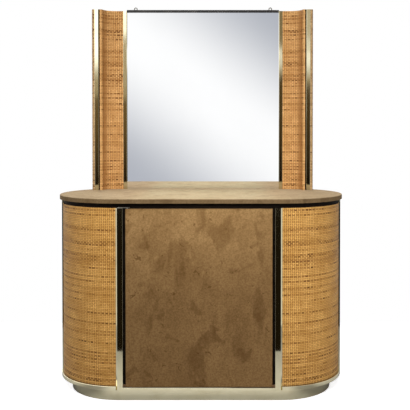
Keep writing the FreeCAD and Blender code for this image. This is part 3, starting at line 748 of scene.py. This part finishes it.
class Finishes:
    """All finishes of the cabinet, each made once."""

    def __init__(self) -> None:
        """Make the materials."""
        walnut = ((0.36, 0.21, 0.11), (0.20, 0.105, 0.05))
        # Near-black ebonised wood; in the gaps round the door its darkness partly stands in as painted
        # shade
        ebony_and_gap_shade = ((0.013, 0.009, 0.006), (0.005, 0.0035, 0.0025))
        self.wood = {grain: Wood(f"walnut_{grain.name}", *walnut, grain).make() for grain in Grain}
        self.body_cane = Cane(
            "end_cane",
            straw=(0.82, 0.478, 0.143),
            tan=(0.46, 0.225, 0.050),
            rust=(0.29, 0.122, 0.029),
            stain=(0.095, 0.029, 0.003),
        ).make()
        self.wing_cane = Cane(
            "wing_cane",
            straw=(0.82, 0.480, 0.192),
            tan=(0.46, 0.222, 0.068),
            rust=(0.31, 0.125, 0.030),
            stain=(0.085, 0.028, 0.006),
            # Painted shade in the cove fold, and a painted highlight on the nose past it
            fold_shade=(0.464, 0.475, 0.487),
        ).make()
        self.edge_cane = Cane(
            "edge_cane",
            straw=(0.62, 0.41, 0.200),
            tan=(0.37, 0.220, 0.092),
            rust=(0.26, 0.130, 0.045),
            stain=(0.085, 0.034, 0.010),
        ).make()
        self.door_suede = Suede(
            "door_nap",
            dark=(0.125, 0.059, 0.016),
            mid=(0.305, 0.180, 0.072),
            light=(0.415, 0.254, 0.107),
            foot=(0.460, 0.425, 0.390),
            smudge=5.0,
            # Painted shade darkening the door towards its bottom
            painted_shade_span=(0.35, 0.95, 0.77),
        ).make()
        # The door's suede made lighter and paler as a painted sheen on the top's face
        self.top_suede = Suede(
            "top_nap_painted_sheen",
            dark=(0.190, 0.130, 0.070),
            mid=(0.345, 0.255, 0.150),
            light=(0.410, 0.312, 0.194),
            foot=(0.470, 0.405, 0.320),
            smudge=7.0,
            # Painted shade on the top's rim, below its face
            painted_shade_span=(0.8805, 0.8835, 0.95),
        ).make()
        plain = {
            "black_wood": Wood("ebonised_gap_shade", *ebony_and_gap_shade, Grain.X, gloss=0.7, shine=0.08),
            "brass": Metal("polished_brass", (0.73, 0.675, 0.475), (0.65, 0.59, 0.395), 0.03, 0.075),
            "dark_trim": Coated("black_gloss", (0.01, 0.009, 0.008), (0.03, 0.026, 0.022), 0.12, 0.25),
            "mirror": Silvering("silvering", (0.955, 0.96, 0.965), (0.93, 0.935, 0.94)),
            "steel": Metal("zinc_plate", (0.40, 0.385, 0.34), (0.26, 0.25, 0.225), 0.25, 0.42),
            "plastic": Coated("moulded_brown", (0.030, 0.024, 0.02), (0.05, 0.042, 0.036), 0.45, 0.6),
        }
        self.slots: dict[str, Material] = {slot: finish.make() for slot, finish in plain.items()}


def settle(
    piece: Piece, material: Material, slot: str, body: str, *nodes: str
) -> Piece:
    """Dress a finished piece and put it on its body.

    Args:
        piece: The piece.
        material: Its material.
        slot: The record's slot for its finish; not used.
        body: The body that it rides on.
        *nodes: The solids that it stands for.

    Returns:
        The piece.
    """
    piece.data.materials.clear()
    piece.data.materials.append(material)
    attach(piece, body)
    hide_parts(*nodes)
    log.info("%s: %d faces on %s", piece.name, len(piece.data.polygons), body)
    return piece


def dress_brass(finishes: Finishes, piece: Piece, node: str) -> None:
    """Shade a brass piece in facets and put it in its solid's place.

    Args:
        finishes: The cabinet's finishes.
        piece: The piece.
        node: The solid that it stands for.
    """
    shade(piece, FACET)
    settle(piece, finishes.slots["brass"], "brass", CABINET, node)


# The pieces


@dataclass
class CaneSkin:
    """A sheet of woven cane, cut flat, closed at the back and laid along a plan line."""

    node: str
    route: Route
    material: Material
    faces: int = 4
    relief: float = 0.0011
    under: float = 0.82
    thick: float = 0.0024
    crease: float = 50.0

    def cut_flat(self) -> Piece:
        """Cut the sheet, a few faces to a strand, with its edge and its plain back.

        Returns:
            The flat sheet, one unit wide and high.
        """
        columns, rows = (int(self.faces * count) for count in self.strands())
        focus()
        bpy.ops.mesh.primitive_grid_add(
            x_subdivisions=columns, y_subdivisions=rows, size=1.0, calc_uvs=True
        )
        sheet = name_new(f"cane.{self.node}")
        with editing(sheet, Pick.EDGES) as mesh:
            choose(sheet, mesh.edges, lambda edge: abs(middle(edge).y) > 0.5 - NEAR)
            bpy.ops.mesh.extrude_region_move(TRANSFORM_OT_translate={"value": (0, 0, -1)})
            bpy.ops.mesh.bridge_edge_loops()
        for end in (-0.5, 0.5):
            with editing(sheet, Pick.EDGES) as mesh:
                choose(
                    sheet, mesh.edges, lambda edge: edge.is_boundary and abs(middle(edge).x - end) < NEAR
                )
                bpy.ops.mesh.edge_face_add()
        close_up(sheet)
        return sheet

    def strands(self) -> np.ndarray:
        """How many strands go along the sheet and up it."""
        low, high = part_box(self.node)
        return np.array((round(self.route.length / CANE_ACROSS), round((high.z - low.z) / CANE_UP)))

    def crests(self, strand: np.ndarray) -> np.ndarray:
        """How far points of the weave stand below its crests.

        Args:
            strand: The points' places, counted in strands along and up.

        Returns:
            The depths.
        """
        over = np.where(np.floor(strand).sum(axis=1) % 2 > 0, 1.0, self.under)
        bulge = np.abs(np.sin(math.pi * strand)).sum(axis=1)
        return self.relief * (1.0 - over * bulge / 2.0)

    def build(self) -> Piece:
        """Cut the sheet, lay it on its line and dress it."""
        low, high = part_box(self.node)
        sheet = self.cut_flat()
        length, rise = self.route.length, high.z - low.z
        flat = points_of(sheet)
        along, height = (flat[:, 0] + 0.5) * length, (flat[:, 1] + 0.5) * rise
        cells = np.round((flat[:, :2] + 0.5) * self.faces * self.strands()) / self.faces
        depth = self.crests(cells)
        out = np.where(flat[:, 2] < -0.5, -self.thick, -depth)
        corner = np.empty(len(sheet.data.loops), dtype=np.int64)
        sheet.data.loops.foreach_get("vertex_index", corner)
        weave_map = sheet.data.uv_layers[0]
        weave_map.name = CANE_MAP
        weave_map.data.foreach_set("uv", (cells * (CANE_ACROSS, CANE_UP))[corner].ravel())
        move_points(sheet, lambda _: np.column_stack((self.route.place(along, out), low.z + height)))
        shade(sheet, self.crease)
        return settle(sheet, self.material, "cane", CABINET, self.node)


@dataclass(frozen=True)
class RoundEnd:
    """The plan of the right-hand end: its centre's X and the radius of its cane."""

    centre: float
    radius: float

    @classmethod
    def measured(cls) -> "RoundEnd":
        """The end as its solids have it."""
        low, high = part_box("rattan_back_right")
        return cls(low.x, high.y)

    @property
    def inner(self) -> float:
        """The radius of the cane's back."""
        return self.radius - CANE_SKIN

    @property
    def lap(self) -> float:
        """The angle at the front that the strip beside the door takes up."""
        low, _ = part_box("rattan_front_right")
        return math.asin((low.x - self.centre) / self.inner)


@dataclass
class BodyEnds:
    """The round ends: four quarter sheets of cane and a brass strip at each widest point."""

    finishes: Finishes
    strip_bevel: float = 0.0003
    strip_cuts: int = 9

    def quarter(self, node: str) -> Route:
        """The plan line of a right-hand quarter.

        Args:
            node: The quarter's solid.

        Returns:
            The line, with its face outwards.
        """
        low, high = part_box(node)
        end = RoundEnd.measured()
        if low.y < 0:
            turns = (end.lap - math.pi / 2, math.asin(high.y / end.inner))
        else:
            turns = (math.asin(low.y / end.inner), math.pi / 2)
        return Route(Route.arc((end.centre, 0.0), end.radius, *turns))

    def side_strip(self, side: Side) -> None:
        """A brass strip curved to the end it covers."""
        node = f"strip_side_{side.value}"
        low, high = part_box(node)
        end = RoundEnd.measured()
        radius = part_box("strip_side_right")[1].x - end.centre
        sweep = math.asin(high.y / radius)
        route = Route(Route.arc((end.centre, 0.0), radius, -sweep, sweep))
        if side is Side.LEFT:
            route = route.mirrored()
        thick = radius - end.inner
        plate = bar(f"brass.{node}", (0, 0, low.z), (route.length, thick, high.z))
        with editing(plate, Pick.EDGES) as mesh:
            choose(plate, mesh.edges, lambda edge: abs(edge.verts[0].co.x - edge.verts[1].co.x) > NEAR)
            bpy.ops.mesh.subdivide(number_cuts=self.strip_cuts)
        length = route.length
        soften(plate, lambda edge: runs_up(edge) and self.at_front_side(edge, length), self.strip_bevel)
        move_points(plate, lambda at: np.column_stack((route.place(at[:, 0], -at[:, 1]), at[:, 2])))
        close_up(plate)
        dress_brass(self.finishes, plate, node)

    @staticmethod
    def at_front_side(edge: bmesh.types.BMEdge, length: float) -> bool:
        """Whether an upright edge is on a flat plate's face, at either side of it."""
        spot = middle(edge)
        return spot.y < NEAR and min(spot.x, length - spot.x) < NEAR

    def build(self) -> None:
        """Make the ends."""
        for part in ("front", "back"):
            route = self.quarter(f"rattan_{part}_right")
            CaneSkin(f"rattan_{part}_right", route, self.finishes.body_cane).build()
            CaneSkin(f"rattan_{part}_left", route.mirrored(), self.finishes.body_cane).build()
        for side in Side:
            self.side_strip(side)


@dataclass
class BodyBrass:
    """The brass of the body: strips beside the door, the bands at the foot and the plinth's skin."""

    finishes: Finishes
    strip_bevel: float = 0.0003
    facet: float = 0.0062
    band_bevel: float = 0.0012
    plinth_skin: float = 0.0012
    band_steps: int = 72

    def front_strip(self, side: Side) -> None:
        """A flat strip beside the door, its outer long edge cut to a facet."""
        node = f"strip_front_{side.value}"
        low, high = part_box(node)
        strip = bar(f"brass.{node}", low, high)
        outer = max(abs(low.x), abs(high.x)) - NEAR

        def in_front(edge: bmesh.types.BMEdge) -> bool:
            """Whether an edge runs up the strip's face."""
            return runs_up(edge) and middle(edge).y < low.y + NEAR

        soften(strip, lambda edge: in_front(edge) and abs(middle(edge).x) > outer, self.facet, 1)
        inner = outer - self.facet
        soften(strip, lambda edge: in_front(edge) and abs(middle(edge).x) < inner, self.strip_bevel)
        dress_brass(self.finishes, strip, node)

    def end_band(self, side: Side) -> None:
        """A band swept round one end from its eased section."""
        node = f"band_end_{side.value}"
        low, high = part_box(node)
        end = RoundEnd.measured()
        centre = end.centre * side.sign
        focus()
        bpy.ops.mesh.primitive_plane_add(
            size=1.0,
            location=(centre, (end.inner + high.y) / 2, (low.z + high.z) / 2),
            rotation=(math.pi / 2, 0, math.pi / 2),
        )
        bpy.context.object.scale = (high.y - end.inner, high.z - low.z, 1.0)
        band = name_new(f"brass.{node}")
        sweep = side.sign * (math.pi - end.lap)
        with editing(band, Pick.VERTS) as mesh:
            choose(band, mesh.verts, lambda vert: vert.co.y > high.y - NEAR)
            bpy.ops.mesh.bevel(offset=self.band_bevel, segments=3, affect="VERTICES")
            bpy.ops.mesh.select_all(action="SELECT")
            bpy.ops.mesh.spin(steps=self.band_steps, angle=sweep, center=(centre, 0, 0), axis=(0, 0, 1))
        close_up(band)
        dress_brass(self.finishes, band, node)

    def front_band(self) -> None:
        """The straight band under the door."""
        low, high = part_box("band_front")
        band = bar("brass.band_front", low, high)
        soften(band, lambda edge: middle(edge).y < low.y + NEAR and not runs_up(edge), self.band_bevel)
        dress_brass(self.finishes, band, "band_front")

    def plinth(self) -> None:
        """The plinth's brass skin."""
        low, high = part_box("plinth_brass")
        skin = stadium("brass.plinth_brass", high.y, high.x - high.y, low.z)
        raise_up(skin, high.z - low.z)
        with editing(skin, Pick.FACES) as mesh:
            choose(skin, mesh.faces, is_cap)
            bpy.ops.mesh.delete(type="ONLY_FACE")
        close_up(skin)
        wall(skin, self.plinth_skin)
        dress_brass(self.finishes, skin, "plinth_brass")

    def build(self) -> None:
        """Make the body's brass."""
        for side in Side:
            self.front_strip(side)
            self.end_band(side)
        self.front_band()
        self.plinth()


@dataclass
class SuedeTop:
    """The suede that wraps the top board."""

    finishes: Finishes
    rim_round: float = 0.0035
    rim_inset: float = 0.02
    thick: float = 0.0018

    def build(self) -> None:
        """Make the wrapped top."""
        low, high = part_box("top_suede")
        wrap = stadium("suede.top_suede", high.y, high.x - high.y, low.z)
        raise_up(wrap, high.z - low.z)
        foot = low.z + NEAR
        with editing(wrap, Pick.FACES) as mesh:
            choose(wrap, mesh.faces, lambda face: is_cap(face) and face.calc_center_median().z < foot)
            bpy.ops.mesh.delete(type="ONLY_FACE")
        close_up(wrap)
        soften(wrap, lambda edge: not runs_up(edge) and middle(edge).z > high.z - NEAR, self.rim_round, 4)
        with editing(wrap, Pick.FACES) as mesh:
            choose(wrap, mesh.faces, is_cap)
            bpy.ops.mesh.inset(thickness=self.rim_inset)
        wall(wrap, self.thick)
        shade(wrap)
        settle(wrap, self.finishes.top_suede, "suede", CABINET, "top_suede")


@dataclass
class SuedeDoor:
    """The suede that wraps the door's face and edges."""

    finishes: Finishes
    edge_round: float = 0.004
    thick: float = 0.0018

    def build(self) -> None:
        """Make the wrapped door."""
        low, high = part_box("door_suede")
        wrap = bar("suede.door_suede", low, high)
        with editing(wrap, Pick.FACES) as mesh:
            choose(wrap, mesh.faces, lambda face: face.normal.y > 0.9)
            bpy.ops.mesh.delete(type="FACE")
        face = low.y + NEAR
        soften(wrap, lambda edge: not edge.is_boundary and middle(edge).y < face, self.edge_round, 5)
        wall(wrap, self.thick)
        shade(wrap)
        settle(wrap, self.finishes.door_suede, "suede", DOOR, "door_suede")


@dataclass
class Wings:
    """The wings beside the mirror: cane coves and edges, with their upright brass strips."""

    finishes: Finishes
    cove_radius: float = 0.0595
    nose: float = 0.0135
    nose_round: float = 0.007
    edge_round: float = 0.008
    strip_bevel: float = 0.0012
    splay: float = 0.055

    def cove(self) -> Route:
        """The plan line of the right-hand cove: flat, quarter round, nose."""
        low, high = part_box("wing_rattan_right")
        flat_y = high.y - CANE_SKIN
        centre_y = flat_y - self.cove_radius
        reach = self.cove_radius + self.nose_round
        nose_y = low.y + self.nose_round
        centre = (high.x - self.nose - self.cove_radius, centre_y)
        nose = (centre[0] + math.sqrt(reach**2 - (nose_y - centre_y) ** 2), nose_y)
        meet = math.asin((nose_y - centre_y) / reach)
        return Route.joined(
            np.array(((low.x, flat_y),)),
            Route.arc(centre, self.cove_radius, math.pi / 2, meet),
            Route.arc(nose, self.nose_round, math.pi + meet, 1.5 * math.pi),
            np.array(((high.x, low.y),)),
        )

    def outer_edge(self) -> Route:
        """The plan line of the right-hand outer edge."""
        low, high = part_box("wing_edge_right")
        centre = (high.x - self.edge_round, low.y + self.edge_round)
        return Route.joined(
            np.array(((low.x, low.y),)),
            Route.arc(centre, self.edge_round, -math.pi / 2, 0.0),
            np.array(((high.x, high.y),)),
        )

    def strip(self, part: str, side: Side) -> None:
        """A polished strip, its face splayed a little to the outside.

        Args:
            part: Which of the wing's strips it is.
            side: Which wing it is on.
        """
        node = f"wing_strip_{part}_{side.value}"
        low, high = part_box(node)
        piece = bar(f"brass.{node}", low, high)
        soften(piece, lambda edge: runs_up(edge) and middle(edge).y < low.y + NEAR, self.strip_bevel)
        inner = low.x if side is Side.RIGHT else high.x

        def splayed(at: np.ndarray) -> np.ndarray:
            """Set the face back towards the outside."""
            share = (high.y - at[:, 1]) / (high.y - low.y)
            back = share * self.splay * (at[:, 0] - inner) * side.sign
            return np.column_stack((at[:, 0], at[:, 1] + back, at[:, 2]))

        move_points(piece, splayed)
        dress_brass(self.finishes, piece, node)

    def build(self) -> None:
        """Make both wings."""
        sheets = (
            ("wing_rattan", self.cove(), self.finishes.wing_cane),
            ("wing_edge", self.outer_edge(), self.finishes.edge_cane),
        )
        for node, route, cane in sheets:
            CaneSkin(f"{node}_right", route, cane).build()
            CaneSkin(f"{node}_left", route.mirrored(), cane).build()
        for side in Side:
            for part in ("inner", "outer"):
                self.strip(part, side)


@dataclass
class Boards:
    """The solids that stay as they are: boards, glass and hardware, dressed by their slots."""

    finishes: Finishes

    @staticmethod
    def grain_of(node: str) -> Grain:
        """The axis that a board is longest along."""
        low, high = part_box(node)
        return list(Grain)[int(np.argmax(high - low))]

    def build(self) -> None:
        """Dress every solid that no piece stands for."""
        for part in frame["record"]["subparts"]:
            solid = frame["nodes"][part["node"]]
            if solid.hide_render:
                continue
            slot = part["material_slot"]
            material = self.finishes.slots.get(slot) or self.finishes.wood[self.grain_of(part["node"])]
            solid.data.materials.clear()
            solid.data.materials.append(material)
            log.info("%s: %s", part["node"], material.name)


@dataclass
class Lamp:
    """A soft box."""

    name: str
    place: tuple[float, float, float]
    aim: tuple[float, float, float]
    size: tuple[float, float]
    power: float
    spread: float
    tint: Colour = (1.0, 1.0, 1.0)

    def build(self) -> None:
        """Hang the lamp and turn it to its aim."""
        focus()
        bpy.ops.object.light_add(type="AREA", location=self.place)
        lamp = bpy.context.object
        lamp.name = self.name
        lamp.data.shape = "RECTANGLE"
        lamp.data.size, lamp.data.size_y = self.size
        lamp.data.energy = self.power
        lamp.data.color = self.tint
        lamp.data.spread = math.radians(self.spread)
        lamp.visible_camera = lamp.visible_glossy = False
        lamp.rotation_euler = (Vector(self.aim) - Vector(self.place)).to_track_quat("-Z", "Y").to_euler()


@dataclass
class Studio:
    """The pale floor, the soft light, the surroundings that metal and mirror show, and the camera.

    strip_zones has a row for each strip of the wings, from the left: where its zone starts across, and
    two steps of light in it, each with the heights that it starts and ends at and its change.
    """

    floor_size: tuple[float, float] = (3.4, 2.23)
    floor_shift: float = 0.015
    floor_drop: float = 0.0006
    floor_inset: float = 0.1
    ambient: float = 0.13
    camera_place: tuple[float, float, float] = (0.1313, -3.7213, 1.1987)
    camera_pitch: float = -1.113
    lens: float = 70.5
    sensor: float = 36.0
    shift: tuple[float, float] = (-0.0599, -0.1564)
    strip_zones: tuple[tuple[Any, ...], ...] = (
        (-1000.0, (0.028, 0.043, 0.45), (0.055, 0.1, 1.8)),
        (-0.26, (0.02, 0.045, 0.52), (0.106, 0.124, 1.5)),
        (0.0, (0.055, 0.082, 1.05), (0.092, 0.103, -0.78)),
        (0.193, (0.038, 0.088, 1.28), (0.092, 0.116, -0.62)),
    )

    def floor(self) -> None:
        """A plain pale floor, with painted shade beside the cabinet's ends that only reflections show."""
        focus()
        bpy.ops.mesh.primitive_plane_add(size=1.0, location=(0, self.floor_shift, -self.floor_drop))
        bpy.context.object.scale = (*self.floor_size, 1.0)
        floor = name_new("studio_floor")
        with editing(floor, Pick.FACES, whole=True):
            bpy.ops.mesh.inset(thickness=self.floor_inset)
        look = MaterialSheet("pale_floor")
        cloud = look.noise(look.object_space(), 2.0)
        pale = look.mix(cloud, (0.93, 0.93, 0.93), (0.96, 0.96, 0.96))
        path = look.add("LightPath")
        direct, mirrored = path.outputs["Is Camera Ray"], path.outputs["Is Glossy Ray"]
        # Painted shade on the floor beside the cabinet's ends, seen only in reflections: darker colour and
        # less glow there
        side = look.math("ABSOLUTE", look.parts(look.object_space())[0])
        outside = look.span(side, 0.66, 0.78, 0.62, 0.0)
        reflected_floor_shade_share = look.times(look.span(side, 0.42, 0.58), outside)
        reflected_floor_shade = look.mix(reflected_floor_shade_share, (0.72, 0.72, 0.72), (0.10, 0.10, 0.09))
        tone = look.mix(mirrored, (0.57, 0.57, 0.57), reflected_floor_shade)
        look.set(Base_Color=look.mix(direct, tone, pale), Roughness=0.9)
        look.set(Specular_IOR_Level=0.1, Emission_Color=(1.0, 1.0, 1.0))
        clear = look.times(look.math("SUBTRACT", 1.0, reflected_floor_shade_share), 0.10)
        lit = look.times(mirrored, clear)
        glow = look.math("ADD", look.times(direct, 0.75), lit)
        look.set(Emission_Strength=glow)
        floor.data.materials.append(look.material)

    def surroundings(self) -> None:
        """White to the eye, even to matt surfaces, and dark low down in front for metal and mirror."""
        world = bpy.data.worlds.new("studio")
        bpy.context.scene.world = world
        world.use_nodes = True
        look = NodeSheet(world.node_tree)
        look.tree.nodes.clear()
        x, y, z = look.parts(look.add("TexCoord").outputs["Generated"])
        away = look.math("MAXIMUM", look.math("ABSOLUTE", y), 0.05)
        across, rise = look.math("DIVIDE", x, away), look.math("DIVIDE", z, away)
        glow = 0.0
        for start, *steps in self.strip_zones:
            lights = [look.span(rise, low, high, 0.0, change) for low, high, change in steps]
            glow = look.choice(across, start, glow, look.math("ADD", *lights))
        # The dark lower front, which gets lighter to the sides and far down
        low_light = look.times(look.span(rise, -0.09, 0.03), look.choice(across, 0.0, 1.0, 0.5))
        dusk = look.mix(low_light, (0.008, 0.004, 0.001), (0.17, 0.108, 0.044))
        sides = look.span(look.math("ABSOLUTE", look.math("ADD", across, 0.03)), 0.27, 0.38, 0.0, 0.85)
        ground = look.span(rise, -0.42, -0.31, 0.5, 0.0)
        bright = look.math("MAXIMUM", glow, look.math("MAXIMUM", sides, ground))
        warmth = look.mix(look.span(bright, 0.3, 1.0), (1.0, 0.80, 0.50), (1.0, 1.0, 1.0))
        surround = look.mix(1.0, look.vector(bright, bright, bright), warmth, "MULTIPLY")
        surround = look.mix(1.0, surround, (0.013, 0.009, 0.004), "ADD")
        surround = look.mix(1.0, surround, dusk, "LIGHTEN")
        # The slanting light that the mirror shows
        slant = look.math("ADD", look.times(across, 7.22), look.times(rise, 9.3))
        slant = look.math("SUBTRACT", slant, 0.12)
        grey = look.span(look.math("ABSOLUTE", slant), 0.08, 1.65, 0.0, 1.0)
        backdrop = look.mix(grey, (1.04, 1.04, 1.04), (0.465, 0.485, 0.535))
        window = look.times(
            look.span(look.math("ABSOLUTE", look.math("ADD", across, 0.0295)), 0.125, 0.15, 1.0, 0.0),
            look.times(look.span(rise, -0.094, -0.080), look.span(y, -0.6, -0.5, 1.0, 0.0)),
        )
        seen = look.mix(window, surround, backdrop)
        path = look.add("LightPath")
        scattered = look.math("GREATER_THAN", path.outputs["Diffuse Depth"], 0.5)
        matt = look.mix(scattered, seen, (self.ambient,) * 3)
        light = look.add("Background")
        look.feed(light.inputs["Color"], look.mix(path.outputs["Is Camera Ray"], matt, (1.0, 1.0, 1.0)))
        look.feed(look.add("OutputWorld").inputs["Surface"], light.outputs[0])

    def camera(self) -> None:
        """The camera, at the photograph's place and angle."""
        focus()
        turn = (math.radians(90.0 + self.camera_pitch), 0.0, 0.0)
        bpy.ops.object.camera_add(location=self.camera_place, rotation=turn)
        camera = bpy.context.object
        camera.data.lens = self.lens
        camera.data.sensor_width = self.sensor
        camera.data.shift_x, camera.data.shift_y = self.shift
        bpy.context.scene.camera = camera

    def build(self) -> None:
        """Set up the studio."""
        self.floor()
        self.surroundings()
        Lamp("key", (0.1, -2.9, 2.05), (0.0, 0.0, 1.2), (1.2, 0.8), 20.4, 80.0).build()
        Lamp("top", (0.0, -0.15, 3.0), (0.0, -0.1, 0.88), (0.9, 0.3), 3.5, 40.0).build()
        cool = (0.2, 0.9, 1.0)
        Lamp("bounce", (0.02, 0.2, 0.985), (0.02, -0.3, 0.81), (0.56, 0.19), 0.17, 25.0, cool).build()
        Lamp("back", (0.0, 3.2, 1.5), (0.0, 0.3, 1.2), (1.6, 1.0), 7.0, 34.0).build()
        Lamp("side", (2.0, -1.7, 0.7), (0.5, -0.1, 0.35), (0.8, 0.8), 1.2, 50.0).build()
        self.camera()
        bpy.context.scene.view_settings.view_transform = "Standard"


def main() -> None:
    """Build the cabinet's dress and the studio in order."""
    logging.basicConfig(level=logging.INFO, format="%(name)s: %(message)s")
    finishes = Finishes()
    for assembly in (BodyEnds, BodyBrass, SuedeTop, SuedeDoor, Wings, Boards):
        assembly(finishes).build()
    Studio().build()


if __name__ == "__main__":
    main()
